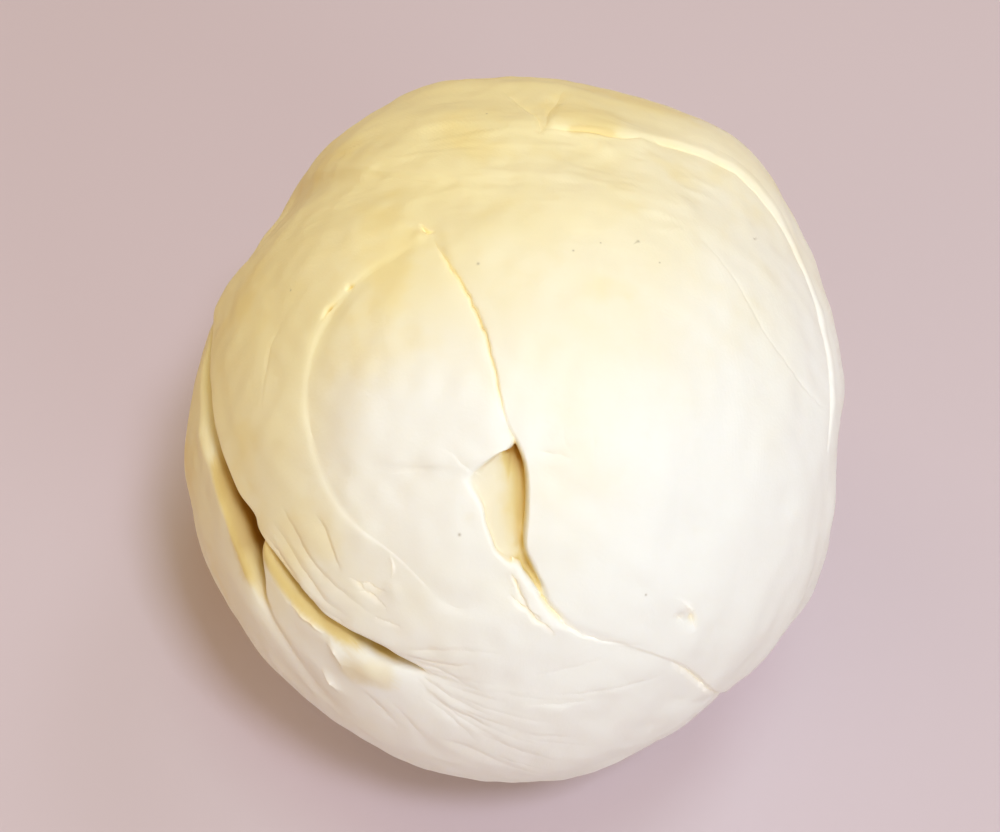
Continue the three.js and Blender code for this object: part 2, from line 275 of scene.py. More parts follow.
# ------------------------------------------------------------------ the floor of the hollow
# The turn seen at the bottom of the hollow in the middle. It lies just under the rim on the
# left and slopes away under the lobe on the right.
wind("hollow_floor",
     left=[[16, 130], [12, 160], [13, 205], [16, 222], [19, 237], [22, 250], [27, 260]],
     right=[[18, 50], [14, 12], [13, 330], [18, 310], [24, 297], [30, 291], [35, 289]],
     left_edge=([3], [2]), right_edge=([3], [3]), lift=[-1.8, -1.7, -1.5, -1.5, -1.5], fineness=0.3,
     slope=(7.5, 0.42))

# ------------------------------------------------------------------ the flat turn beside it
# A nearly flat stretch of ribbon on the left of the hollow. Its cut rim stands over the floor of
# the hollow, and its other rim is tucked in under the broad turn.
wind("turn_flat",
     left=[[44, 124], [43, 150], [41, 176], [39, 200], [38, 220], [37, 240], [35, 256], [34, 270]],
     right=[[24, 96], [6, 90], [6, 180], [9, 220], [11, 227.3], [11.7, 237.4], [12.9, 245.7], [14.8, 250.7],
            [16.7, 255.9], [18.1, 258.9], [19.2, 263.7], [20.4, 268], [23.5, 271.5], [28, 278]],
     left_edge=TUCKED,
     right_edge=([10, 10, 4, 0.8, 0.5, 0.5, 0.5, 0.5, 0.5, 0.5, 0.5, 0.6, 1, 1.5],
                 [6, 6, 4, 1.4, 1.2, 1.2, 1.2, 1.2, 1.2, 1.2, 1.2, 1.4, 1.8, 2]),
     lift=[-0.8, -0.5, -0.4, -0.3, -0.3, -0.4], fineness=0.35)

# ------------------------------------------------------------------ the tongue
# The end of a turn, pulled thin. It lies on the flat turn, and its tip is a small loose flap over
# the top of the hollow.
wind("tongue",
     left=[[46, 124], [44, 134], [43, 150], [40, 168], [34, 184], [26, 196], [18, 202], [11.4, 211]],
     right=[[38, 104], [28, 104], [18, 98], [10, 90], [4, 80], [2.9, 253], [5.4, 233.5], [10.4, 225.4]],
     left_edge=([13, 13, 13, 14, 14, 12, 8, 3], [7, 7, 6, 1.5, 1.2, 1, 1, 0.8]),
     right_edge=([10, 10, 8, 6, 4, 1.2, 0.9, 0.9], [4, 4, 4, 4, 3, 2.2, 1.8, 1.4]),
     lift=[-1, -0.5, -0.35, -0.25, -0.2, -0.1, 0.1, 0.1], fineness=0.35, ends=(1.4, 0.9))

# ------------------------------------------------------------------ the broad turn
# The widest turn on the left. Its thin inner lip lies on the flat turn and the tongue, and its
# outer rim overhangs the gap.
wind("turn_broad",
     left=[[106, 126], [100, 138], [90, 150], [79, 161], [69, 169], [62.6, 176], [57.2, 184.4], [52, 194.6],
           [48.7, 199.6], [48.6, 202.6], [46.6, 209], [44.8, 221], [43.2, 227.5], [40.8, 235], [40.8, 241],
           [41, 250], [41, 262], [44, 276], [50, 290], [60, 300], [80, 307]],
     right=[[52, 92], [40, 106], [35, 119], [36, 136], [36.5, 150], [36, 165], [34, 180],
            [31.5, 196], [29, 209], [26, 226], [26, 238], [28, 250], [25, 259], [20, 266],
            [24, 284], [34, 303], [52, 312]],
     left_edge=([4, 4, 4, 3.5, 3, 2.4, 1.8, 1.5, 1.4, 1.4, 1.5, 1.5, 1.4, 1.6, 3, 8, 14, 16, 16, 14, 10],
                [5, 5, 5, 5, 5, 5, 5, 5, 5, 4, 4, 4, 4, 4, 3, 1.6, 1.2, 1, 1, 1.2, 1.4]),
     right_edge=([10, 4, 1.2, 1, 1, 1, 1.2, 1.2, 1, 0.9, 0.9, 1.5, 5, 8, 10, 10, 10],
                 [3, 1.2, 0.6, 0.5, 0.5, 0.5, 0.5, 0.5, 0.5, 0.5, 0.6, 0.8, 2, 3, 4, 4, 4]),
     lift=[-3, -0.05, -0.15, -0.22, -0.22, -0.22, -0.1, 0, -0.6], fineness=0.45)

# ------------------------------------------------------------------ the torn strip
# A thin strip of skin, torn along the rim of the hollow when the ball was pulled tight. It still
# hangs on at its lower end.
wind("torn_strip",
     left=[[18.4, 264.5], [20, 266], [21.4, 266.2], [22, 268.4], [23.6, 268.6], [24.4, 271], [26, 272.2],
           [27, 275], [28.4, 275.8], [30, 279.5], [32, 284]],
     right=[[19.2, 270], [20.4, 271.6], [21.8, 273.4], [23.5, 275.6], [25.2, 277.2], [27.5, 279.6],
            [29.8, 282.8], [33, 288]],
     left_edge=([0.5], [0.5]), right_edge=([0.8], [1.2]), lift=[-0.5, 0.1, 0.35, 0.3, 0.35, 0.3, -0.3],
     fineness=0.16, thickness=2.5, ends=(2, 0.8))

# ------------------------------------------------------------------ the big lobe
# The largest turn. It is drawn round over the right of the ball and tucked in at the hollow,
# where its side rounds down into the seam.
wind("lobe",
     left=[[54, 106], [42, 113], [33, 115.4], [22, 113.8], [15, 113.4], [9.6, 118.5], [5, 136], [2.6, 185],
           [2.9, 250], [6.5, 273], [12, 272.5], [17, 270.6], [20.2, 273.4], [22.6, 276], [25.2, 277],
           [30, 283.4], [36, 295], [43, 302], [52, 304.5], [67, 306], [90, 309]],
     right=[[70, 76], [76, 60], [80, 45], [82, 32], [80, 20], [77, 10], [74, 2], [72, 354],
            [72, 348], [73, 342], [74, 337], [76, 332], [79, 327], [84, 322], [92, 317], [104, 314]],
     left_edge=([10, 6, 2.4, 1.8, 1.8, 1.8, 1.8, 1.6, 1.2, 0.9, 0.9, 1, 1.4, 1.8, 2.4, 5, 6, 6, 4, 4, 4],
                [1, 0.7, 0.8, 0.9, 1, 1.1, 1.2, 1.6, 3, 5, 5, 5, 4.4, 3.6, 3, 2.4, 1.5, 0.8, 1, 1.4, 3]),
     right_edge=TUCKED, lift=[-1.6, -0.3, 0, 0.1, 0.1, 0.1, 0.1, 0, 0], fineness=0.45)

# ------------------------------------------------------------------ the crown
# The turn over the top. It comes up from the back, thins out, and sinks into the flat top, where
# the warm curd was pressed down with the hand.
wind("turn_crown",
     left=[[132, 178], [118, 160], [104, 142], [90, 134], [80, 131.5], [68, 127.5], [57.5, 121.5],
           [49, 112], [45, 100], [46, 88]],
     right=[[142, 100], [136, 92], [124, 86], [108, 82], [96, 79], [86, 77], [77, 76], [70, 75],
            [64, 75], [58, 76]],
     left_edge=([4, 5, 8, 8, 6, 6, 6, 8, 14, 14], [4, 3, 1.4, 0.8, 0.6, 0.5, 0.5, 0.6, 0.8, 1]),
     right_edge=([14], [3]), lift=[0, 0, 0.1, 0.25, 0.3, 0.3, 0.3, 0.1, -0.3, -0.6], fineness=0.6,
     ends=(14, 2))

# ------------------------------------------------------------------ the outermost turn
# The last turn of the ribbon. It goes over the top and down the right side and holds the lobe
# down with a thin raised lip.
wind("turn_outer",
     left=[[98, 124], [84, 112], [72, 101], [62, 91], [57.5, 83], [58, 75], [62, 66], [67, 55], [69.5, 44],
           [70.5, 34], [69, 24], [65.5, 14], [61.5, 4], [59.5, 356], [60, 348], [66, 333], [80, 317],
           [100, 306]],
     right=[[120, 128], [116, 116], [114, 104], [113, 92], [113, 80], [113, 68], [114, 56], [115, 44],
            [115, 33], [115, 24], [114, 14], [113, 3], [112, 354], [110, 346], [110, 338], [111, 328],
            [114, 314], [122, 303]],
     left_edge=([14, 14, 12, 6, 2.5, 1.5, 1.5, 1.6, 1.8, 1.8, 1.8, 1.8, 1.6, 2, 8, 10, 8, 6],
                [3, 1.5, 1, 0.8, 1.2, 1.4, 1.2, 1.1, 1.2, 1.2, 1.2, 1.2, 0.9, 0.6, 0.8, 1, 2, 4]),
     right_edge=([4], [5]), lift=[-0.6, 0.1, 0.3, 0.4, 0.4, 0.4, 0.3, 0.1, -0.4], fineness=0.55,
     ends=(14, 3))

# ------------------------------------------------------------------ the turns stuck together
# The curd is wound warm and sticks to itself, so the finished ball is one solid piece. Where
# the turns were pressed hard their joint has closed, and elsewhere it is a shallow line.
bpy.ops.object.select_all(action="DESELECT")
bpy.context.view_layer.objects.active = cheese
for piece in turns:
    stuck = cheese.modifiers.new("stuck", "BOOLEAN")
    stuck.operation = "UNION"
    stuck.solver = "MANIFOLD"
    stuck.object = piece
    bpy.ops.object.modifier_apply(modifier=stuck.name)
    bpy.data.objects.remove(piece, do_unlink=True)


def points_of(piece):
    """A piece's points, in millimetres from the ball's middle."""
    co = np.empty(len(piece.data.vertices) * 3)
    piece.data.vertices.foreach_get("co", co)
    return (co.reshape(-1, 3) - middle) / MM


def keep_outside(piece):
    """Takes away what is shut up inside the ball."""
    p = points_of(piece)
    bpy.ops.object.mode_set(mode="EDIT")
    bpy.ops.mesh.select_mode(type="VERT")
    bpy.ops.mesh.select_all(action="DESELECT")
    bpy.ops.object.mode_set(mode="OBJECT")
    piece.data.vertices[int(p[:, 2].argmax())].select = True
    bpy.ops.object.mode_set(mode="EDIT")
    bpy.ops.mesh.select_linked()
    bpy.ops.mesh.select_all(action="INVERT")
    bpy.ops.mesh.delete(type="VERT")
    bpy.ops.mesh.select_all(action="SELECT")
    bpy.ops.mesh.quads_convert_to_tris()
    bpy.ops.object.mode_set(mode="OBJECT")


keep_outside(cheese)


def off_line(d, stations, reach):
    """How far each direction is off the line through the stations, in millimetres, how far along
    the line it is, from 0 to 1, and whether it is on the line's left."""
    n = 10 * len(stations)
    line = smooth_line(stations, np.linspace(0, 1, n + 1)) * MEAN
    q = d * MEAN
    apart, share, side = np.full(len(d), 1e3), np.zeros(len(d)), np.zeros(len(d))
    centre = line.mean(0)
    size = np.linalg.norm(line - centre, axis=1).max() + reach + 2
    near = np.nonzero(np.linalg.norm(q - centre, axis=1) < size)[0]
    for i in range(n):
        a, ab = line[i], line[i + 1] - line[i]
        w = q[near] - a
        f = np.clip(w @ ab / (ab @ ab), 0, 1)
        gap = np.linalg.norm(w - f[:, None] * ab, axis=1)
        hit = gap < apart[near]
        apart[near[hit]] = gap[hit]
        share[near[hit]] = ((i + f) / n)[hit]
        side[near[hit]] = (w @ np.cross(a, ab))[hit] > 0
    return apart, share, side


def neighbours(piece):
    """The two ends of each edge, and how many edges meet at each point."""
    ends = np.empty(len(piece.data.edges) * 2, np.int64)
    piece.data.edges.foreach_get("vertices", ends)
    ends = ends.reshape(-1, 2)
    count = np.bincount(ends.ravel(), minlength=len(piece.data.vertices))
    return ends, np.maximum(count, 1)


def even(values, ends, count):
    """The mean of each point's neighbours."""
    n = len(count)
    out = [np.bincount(ends[:, 0], weights=v[ends[:, 1]], minlength=n)
           + np.bincount(ends[:, 1], weights=v[ends[:, 0]], minlength=n) for v in values.T]
    return np.stack(out, 1) / count[:, None]


# Where the joint between two turns has closed: the line, how far the closing reaches, how much
CLOSED = (
    ([[100, 141], [90, 134], [80, 131.5], [68, 127.5], [57.5, 121.5], [49, 112]], 3, 0.7),
    ([[40, 112], [43, 104], [46, 97], [48, 90], [51, 82], [57, 72]], 7, 1),
    ([[92, 118], [84, 112], [72, 101], [64, 92]], 7, 1),
    ([[100, 84], [86, 78], [72, 76]], 6, 1),
    ([[40, 244], [40.5, 250], [41, 262], [44, 276], [50, 290], [60, 300], [74, 307]], 7, 1),
    ([[42, 243], [40, 254], [36, 268], [37, 282], [45, 295]], 7, 1),
    ([[44, 140], [40, 168], [34, 184], [26, 196], [18, 202], [13, 207]], 6, 1),
    ([[57, 222], [63, 233], [72, 242], [90, 252], [104, 264]], 6, 1),
    ([[27, 247], [28, 254], [25, 262], [21, 268]], 2.5, 0.8),
    ([[33.5, 290], [37.5, 298], [43, 302], [46, 303.3]], 3, 1),
    ([[60, 350], [66, 333], [80, 317]], 8, 1),
    ([[41, 107], [36.5, 115], [35.2, 121], [35.8, 132]], 2, 0.7),
    ([[11.6, 208], [10.4, 214], [9.8, 220]], 1.5, 0.7),
    ([[36, 130], [36.1, 143.3], [36.1, 155.2], [35.8, 164.8], [35.5, 174.1], [34.8, 181.9], [34.2, 192.3],
      [33.3, 202], [32.1, 212.9], [29.9, 223.6]], 1.9, 0.6),
    ([[54.6, 194], [52.6, 199.5], [52, 206]], 1.6, 0.2),
)
p = points_of(cheese)
d = p / np.linalg.norm(p, axis=1, keepdims=True)
melt = np.zeros(len(p))
for line, reach, share in CLOSED:
    apart = off_line(d, line, reach * 2)[0]
    melt = np.maximum(melt, share * np.exp(-(apart / reach) ** 4))
ends, count = neighbours(cheese)
for _ in range(60):
    p += (even(p, ends, count) - p) * melt[:, None]
for _ in range(3):
    p += (even(p, ends, count) - p) * 0.5
settle(cheese, p)

# ------------------------------------------------------------------ creases in the curd
# Marks left where the warm ribbon was pulled, pinched and torn. Each is pressed into the
# surface along its own line.
SEAM = [[34, 115.6], [28.7, 114.5], [22.2, 112.4], [14.9, 111.2], [9.3, 115.1], [4.4, 131.3], [2, 184]]
# line, depth at even shares of it, reach to its left and to its right
CREASES = [
    # the seam of the big lobe, from the top to the hollow
    (SEAM, (0, 0.25, 0.4, 0.45, 0.45, 0.4, 0), 0.4, 0.6),
    (SEAM, (0, 0.12, 0.3, 0.36, 0.3, 0), 0.1, 4.6),
    # from the hollow round the bottom of the lobe
    ([[22.4, 273.4], [24.7, 276.6], [28.4, 281.3], [30.7, 284.6], [34, 291], [37.5, 299.5]],
     (0, 0.45, 0.45, 0.3, 0.15, 0), 0.6, 0.4),
    # its lower end
    ([[43, 302], [47, 303.5], [52, 304.5], [60, 305.5], [70, 306.5]], (0, 0.6, 0.7, 0.6, 0.3), 0.8, 1.0),
    # the foot of the fold at the tongue
    ([[9.6, 226], [9.9, 217], [10.3, 209], [11, 202], [12.4, 196]], (0.1, 0.15, 0.12, 0.05, 0), 0.6, 2.2),
    # the slot at the top and the pleat beside it
    ([[57.2, 85.5], [57.9, 81.2], [58.5, 77.6], [58.9, 74.1], [59.8, 70.6], [62.4, 65]],
     (0, 0.35, 0.5, 0.5, 0.4, 0), 0.7, 0.8),
    ([[73, 93], [67, 90], [61, 86.5], [57, 86]], (0, 0.4, 0.6, 0.4), 2.2, 1.6),
    ([[75, 82], [69, 83], [63, 84.5], [58, 85]], (0, 0.3, 0.5, 0.3), 1.6, 2.2),
    # under the lip of the outermost turn
    ([[63, 64], [67.5, 53], [69.8, 42], [70.5, 34], [69, 24], [65.5, 14], [61.5, 4], [59.4, 355]],
     (0.1, 0.4, 0.5, 0.5, 0.5, 0.5, 0.6, 0.2), 1.0, 0.5),
    # behind that lip, which stands up as a bead
    ([[68, 60], [71, 52], [72.6, 42], [73.4, 34], [72, 24], [68.5, 14], [64.4, 4], [62.2, 355]],
     (0, 0.08, 0.14, 0.14, 0.14, 0.14, 0.1, 0), 3.4, 2.4),
    # a line on the right of the lobe
    ([[46, 46], [45, 33], [45.5, 21], [50, 10], [56, 4], [61, 2]],
     (0, 0.12, 0.14, 0.14, 0.12, 0), 1.4, 0.9),
    # beside the torn strip
    ([[21.2, 266.4], [22.2, 268], [23.7, 269.6], [24.6, 270.9]], (0.1, 0.45, 0.4, 0), 0.35, 0.5),
    ([[24, 266.4], [25.4, 269.6], [26, 272.2], [27.6, 274.4], [28.5, 277], [30.4, 279]],
     (0, 0.45, 0.35, 0.5, 0.4, 0), 0.35, 0.8),
    # folds along the outer rim of the broad turn, where it was pulled down
    ([[46.4, 202.6], [44.8, 208.5], [44.3, 214], [44, 219.5], [42, 226], [39.6, 234]],
     (0, 0.3, 0.4, 0.35, 0.2, 0), 1.4, 2.2),
    ([[40.6, 199], [39.6, 205], [39.3, 211], [38.6, 218], [37, 226], [36, 233]],
     (0, 0.25, 0.35, 0.3, 0.2, 0), 1.2, 2.6),
    ([[43.4, 201.5], [42, 208], [41.5, 215], [41.2, 222], [39.4, 230]], (0, 0.2, 0.3, 0.25, 0), 1.2, 2.0),
    ([[34.4, 204], [33.9, 209], [34.8, 215], [35.2, 220]], (0, 0.3, 0.35, 0), 0.8, 2.2),
    ([[45, 152], [45.5, 164], [44, 178]], (0, 0.12, 0), 0.8, 1.2),
    # small slits left open under its inner lip
    ([[37.9, 116.6], [36.2, 116.2], [35.4, 114]], (0.2, 0.7, 0), 0.5, 0.8),
    ([[36, 140.6], [36.3, 141.4], [36.5, 142.4]], (0.2, 0.5, 0.2), 0.4, 0.6),
    ([[36.5, 146.8], [36.9, 149.2], [37, 152]], (0.2, 0.5, 0.2), 0.4, 0.7),
    # tiny flakes torn up on it
    ([[34.5, 222.6], [34, 225.1], [34.1, 226.6]], (0.1, 0.35, 0.1), 0.35, 0.9),
    ([[33.7, 225], [32.7, 226.9], [32.5, 228.7], [31.7, 230.6]], (0.1, 0.35, 0.3, 0.1), 0.35, 0.9),
    ([[34.6, 226.6], [33.7, 228.9], [33.6, 231.1], [33.7, 233.6]], (0.1, 0.4, 0.3, 0.1), 0.35, 1),
    ([[36, 233.6], [35.2, 236.4], [34.6, 239]], (0.1, 0.2, 0.1), 0.35, 0.9),
    ([[26.9, 225.2], [27.9, 228.1], [29.3, 230.4]], (0, -0.25, 0), 0.5, 0.5),
    # bright facets on the strand below
    ([[48.4, 218], [47.6, 221], [46.8, 224.4], [46.4, 227]], (0, -0.6, -0.7, 0), 2.2, 0.5),
    ([[47.2, 228.6], [46.8, 231], [48.4, 234]], (0, -0.7, 0), 2.2, 0.5),
    ([[53, 231], [53.8, 233.9], [55.2, 236.4]], (0, -0.6, 0), 2, 0.5),
    # the pinch at the bottom right of the lobe
    ([[33.9, 311], [35.8, 312.2], [37, 312.6], [38.2, 312.4], [39, 311.6]],
     (0, -0.15, -0.35, -0.3, 0), 0.5, 1.2),
    ([[36.2, 308.9], [37.6, 309.2], [39.2, 309]], (0, 0.55, 0.1), 1.2, 1.4),
    ([[37.6, 312], [39.4, 311.4], [41.6, 310]], (0.1, 0.7, 0), 0.8, 2),
    # soft wrinkles above the hollow's right rim
    ([[4.4, 300], [5.4, 311], [7.2, 321], [9, 326]], (0, 0.22, 0.2, 0), 1.4, 1.8),
    ([[8.5, 327], [6.5, 340], [6, 2]], (0, 0.1, 0), 0.9, 0.9),
    ([[12, 330], [10.5, 345], [10, 5]], (0, 0.08, 0), 0.9, 0.9),
]
# long pulls that fan out over the bottom from the end of the outer rim, with fine marks between
CREASES += [
    ([[38.9, 240.6], [35.7, 248.4], [33.5, 257.5], [33, 266.1]], (0, 0.22, 0.12, 0), 1.0, 1.8),
    ([[39.3, 241.6], [38.7, 245.8], [38.2, 249.6], [37.1, 255.1], [35.4, 259.3]],
     (0, 0.35, 0.42, 0.3, 0), 1.0, 1.6),
    ([[39.7, 242.4], [39.3, 247.8], [39.1, 252.8], [40.6, 261.5]], (0, 0.25, 0.2, 0), 0.9, 1.8),
    ([[40.4, 243.5], [42.3, 251.3], [43.9, 260], [45.1, 267]], (0, 0.26, 0.2, 0), 1.2, 2.2),
    ([[41.9, 246.2], [44.9, 254.2], [46.5, 260.5], [47.7, 264.4]], (0, 0.3, 0.36, 0), 1.2, 2.4),
    ([[45.1, 250.1], [47.1, 256.7], [52, 262.9]], (0, 0.28, 0), 1.2, 2),
    ([[48.5, 244.5], [51.9, 250], [55.7, 254.4]], (0, 0.2, 0), 1.2, 2),
    ([[52.6, 253.9], [54.4, 262.2], [60.4, 271.7]], (0, 0.18, 0), 1.2, 2.4),
    ([[39.6, 261.3], [40.9, 271.9], [43, 284.5]], (0, 0.12, 0), 1.4, 2.6),
    ([[49.4, 238], [52, 244], [54.7, 248.7]], (0, 0.22, 0), 1.2, 1.8),
]
FAN_FROM = (-19.6, -36.6)  # degrees to the right of and above the middle of the ball's face
chance = np.random.default_rng(5)
for k in range(16):
    heading = math.radians(-2 - 3.4 * k + chance.uniform(-2, 2))
    start, length = chance.uniform(1, 24), chance.uniform(8, 22)
    fan = []
    for share in (0, 0.33, 0.67, 1):
        bow = heading + math.radians(6) * share
        x = FAN_FROM[0] + (start + length * share) * math.cos(bow)
        y = FAN_FROM[1] + (start + length * share) * math.sin(bow)
        fan.append([math.hypot(x, y), math.degrees(math.atan2(y, x)) % 360])
    deep = chance.uniform(0.05, 0.16)
    CREASES.append((fan, (0, deep, 0.8 * deep, 0), chance.uniform(0.5, 1.2), chance.uniform(0.8, 1.8)))


def pick_edges(piece, chosen):
    """Selects these edges of the piece and no others."""
    bpy.ops.object.mode_set(mode="EDIT")
    bpy.ops.mesh.select_mode(type="EDGE")
    bpy.ops.mesh.select_all(action="DESELECT")
    bpy.ops.object.mode_set(mode="OBJECT")
    piece.data.edges.foreach_set("select", chosen)
    bpy.ops.object.mode_set(mode="EDIT")


def refine(piece, near, length):
    """Halves the edges longer than length, in millimetres, where near says so."""
    p = points_of(piece)
    ends = neighbours(piece)[0]
    long = np.linalg.norm(p[ends[:, 0]] - p[ends[:, 1]], axis=1) > length
    close = near(p / np.linalg.norm(p, axis=1, keepdims=True))
    pick_edges(piece, long & close[ends[:, 0]] & close[ends[:, 1]])
    bpy.ops.mesh.subdivide(number_cuts=1)
    bpy.ops.mesh.select_all(action="SELECT")
    bpy.ops.mesh.quads_convert_to_tris()
    bpy.ops.object.mode_set(mode="OBJECT")


def by_a_crease(d, within=1.2):
    """Whether each direction is close to a crease, in millimetres."""
    close = np.zeros(len(d), bool)
    for crease in CREASES:
        close |= off_line(d, crease[0], within)[0] < within
    return close


def mottle(q, size, seed):
    """Soft random unevenness of a given size in millimetres, about one high."""
    waves = 28
    chance = np.random.default_rng(seed)
    out = np.zeros(len(q))
    for _ in range(waves):
        wave = chance.normal(size=3)
        wave *= 2 * math.pi / (size * np.linalg.norm(wave)) * chance.uniform(0.7, 1.5)
        out += np.cos(q @ wave + chance.uniform(0, 2 * math.pi))
    return out / math.sqrt(waves / 2)


for _ in range(2):
    refine(cheese, by_a_crease, 0.3)
p = points_of(cheese)
d = p / np.linalg.norm(p, axis=1, keepdims=True)
waver = 0.06 * mottle(p, 2.2, 9)
pressed = np.zeros(len(p))
for line, depth, left, right in CREASES:
    apart, share, side = off_line(d, line, max(left, right) * 1.5)
    off = np.where(side > 0, apart, -apart) + waver
    reach = np.where(off > 0, left, right)
    pressed -= along(depth, share) * np.clip(1 - np.abs(off) / reach, 0, 1) ** 2

# Soft dents and bumps: reach, clock, spread in degrees, height.
DENTS = (
    (36.9, 149.6, 0.7, -0.2), (36.3, 141.4, 0.6, -0.2),
    (40.2, 121.5, 1.8, 0.35), (35.8, 118.5, 1.2, 0.3),
    (41.4, 239, 1.4, -1.6), (48, 234, 1.6, 0.3), (45.2, 238.5, 2.4, 0.35),
    (39, 310.2, 2.2, -0.4), (55.6, 72.6, 1.6, 0.45), (60.6, 66.5, 1.8, 0.35),
    (54.5, 104, 7, -0.5), (50, 75, 8, -0.4), (24, 150, 9, 0.4), (16, 20, 14, 0.4), (30.5, 233, 1.4, 0.3),
)
for one in DENTS:
    pressed = pressed + swell(d, *one)

# The skin is never quite even, and on the flat top it is drawn into fine sideways wrinkles.
FLAT_TOP = [[60, 118], [54, 100], [50, 82], [52, 64]]
TOP_REACH = 13
WRINKLE = 6.2  # from one to the next
pressed += 0.16 * mottle(p, 17, 1) + 0.05 * mottle(p, 6, 2)
drawn = np.stack([p @ RIGHT * 0.28, p @ UP, p @ FACE], 1)
top = np.exp(-(off_line(d, FLAT_TOP, 30)[0] / TOP_REACH) ** 2)
patchy = np.clip(0.7 + 0.6 * mottle(p, 11, 6), 0, 1.3)
pressed += top * patchy * (0.13 * (0.5 - np.abs(mottle(drawn, WRINKLE, 3))) + 0.02 * mottle(drawn, 1.9, 4))
settle(cheese, p + d * pressed[:, None])

# The back and the smooth stretches need the fewest triangles, and the specks get the last few.
ENOUGH = 193000
full = sum(len(f.vertices) - 2 for f in cheese.data.polygons)
thin = cheese.modifiers.new("thin", "DECIMATE")
thin.ratio = ENOUGH / full
bpy.ops.object.modifier_apply(modifier=thin.name)

# ------------------------------------------------------------------ the burnt specks
# Tiny flecks of milk that scorched on the wall of the vat and were kneaded into the curd. They
# lie in the skin, so only its colour changes. Reach, clock, radius in millimetres.
SPECKS = ((29, 73, 0.16), (32.2, 66, 0.13), (36, 57, 0.24), (35, 49, 0.14), (17.7, 241, 0.2),
          (37, 329, 0.18), (30.5, 306, 0.15), (26, 105, 0.22), (58, 38, 0.2), (62, 96, 0.16),
          (47, 150, 0.15), (70, 236, 0.14))


def on_a_speck(d, within=1.1):
    """Whether each direction is on a speck or close to one, in millimetres."""
    close = np.zeros(len(d), bool)
    for reach, clock, _ in SPECKS:
        close |= np.linalg.norm(d - place(reach, clock), axis=1) * MEAN < within
    return close


for length in (0.5, 0.3, 0.18, 0.14):
    refine(cheese, on_a_speck, length)
p = points_of(cheese)
outward = p / np.linalg.norm(p, axis=1, keepdims=True)
burnt = np.zeros(len(p))
for reach, clock, radius in SPECKS:
    apart = np.linalg.norm(outward - place(reach, clock), axis=1) * MEAN
    burnt = np.maximum(burnt, 0.6 * np.exp(-(apart / radius) ** 2))
cheese.data.attributes.new("speck", "FLOAT", "POINT").data.foreach_set("value", burnt.astype(np.float32))

# ------------------------------------------------------------------ the painted shade in the gaps
# Painted shade: the gaps and creases between the turns are painted yellower than the skin, standing in for
# shade and for light bounced off the yellow curd. How yellow goes by how sunk a point is among its
# neighbours and below the ball.
# Reach, clock, spread in degrees, how much yellower it is there than elsewhere.
SHADE_SPOTS = ((3.2, 262, 2.6, 1.2), (13, 256, 7, 0.4), (53, 196, 9, 1.4), (47, 214, 6, 0.5), (43.5, 229, 6, 0.2),
        (41.3, 239, 2.5, 0.5), (58.7, 75.6, 3, 0.4), (36.6, 148, 5, 0.7), (23.5, 275, 4, 0.2),
        (20, 113, 14, 0.1), (46, 240, 2.5, 0.2))
ends, count = neighbours(cheese)
wide = p
hollow = np.zeros(len(p))
FULLY_SUNK = {10: 0.3, 30: 0.9, 60: 1.8}  # rounds of evening out, and what depth is then a gap
for rounds in range(1, 61):
    wide = even(wide, ends, count)
    if rounds in FULLY_SUNK:
        sunk = ((wide - p) * outward).sum(1)
        hollow = np.maximum(hollow, sunk / FULLY_SUNK[rounds])
sunk = ball_radius(outward) - np.linalg.norm(p, axis=1)
hollow = np.maximum(hollow, np.clip((sunk - 0.9) / 3.4, 0, 1))
# The painted shade is faint on the back and sides and strongest where the ball faces the camera.
yellow = 0.06 + 0.29 * np.clip((outward @ FACE - 0.3) / 0.2, 0, 1)
yellow += sum(swell(outward, *one) for one in SHADE_SPOTS)
hollow = (np.clip(hollow, 0, 1) * np.clip(yellow, 0, 1.4))[:, None]
for _ in range(2):
    hollow = 0.5 * hollow + 0.5 * even(hollow, ends, count)
hollow = hollow.ravel()
# Where the painted shade is strongest: the line, how far it spreads in millimetres, how much, how deep it
# lies
SHADE_LINES = (
    ([[4.5, 262], [8, 255], [13, 256], [17, 263]], 6, 0.26, 0.4),
    ([[19.6, 269.6], [22, 272.8], [24.4, 276]], 1.2, 0.45, 1.0),
    ([[24.4, 276.2], [27.2, 279.6], [29.6, 282.6]], 0.35, 0.16, -1),
    ([[21.2, 266.4], [22.2, 268], [23.7, 269.6], [24.6, 270.9]], 0.25, 0.16, -1),
    ([[24, 266.4], [25.4, 269.6], [26, 272.2], [27.6, 274.4], [28.5, 277], [30.4, 279]], 0.25, 0.16, -1),
    ([[48.4, 206.5], [47.6, 211.5], [46.9, 217], [45.5, 222.5], [43.9, 229], [42.8, 233]], 1.6, 0.48, -1),
    ([[63.4, 178], [60.2, 183], [58.2, 187]], 1.5, 0.3, -1),
    ([[58.2, 187], [56, 192], [54.5, 196], [53.8, 201], [53.7, 204]], 2.2, 0.7, -1),
    ([[54.6, 202], [54.8, 206], [55, 209]], 1.9, 0.5, -1),
    ([[54.8, 208], [54.6, 212], [54.2, 215.5]], 1.4, 0.3, -1),
    ([[58.2, 79.5], [58.9, 76], [59.6, 72.5]], 1.1, 0.34, -1),
    ([[47.6, 236], [45.8, 238.4], [45, 241.4]], 2.8, 0.24, -1),
)
for line, reach, much, under in SHADE_LINES:
    apart = off_line(outward, line, reach * 2)[0]
    line_shade = much * np.exp(-(apart / reach) ** 4) * np.clip((sunk - under) / 0.5, 0, 1)
    hollow = np.maximum(hollow, line_shade)
hollow = even(hollow[:, None], ends, count)[:, 0]
# The attribute fold holds how much painted shade each point gets.
tint = cheese.data.attributes.new("fold", "FLOAT", "POINT")
tint.data.foreach_set("value", np.clip(hollow, 0, 1).astype(np.float32))

bpy.ops.object.shade_smooth()
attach(cheese, "root")
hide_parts("cheese_ball")
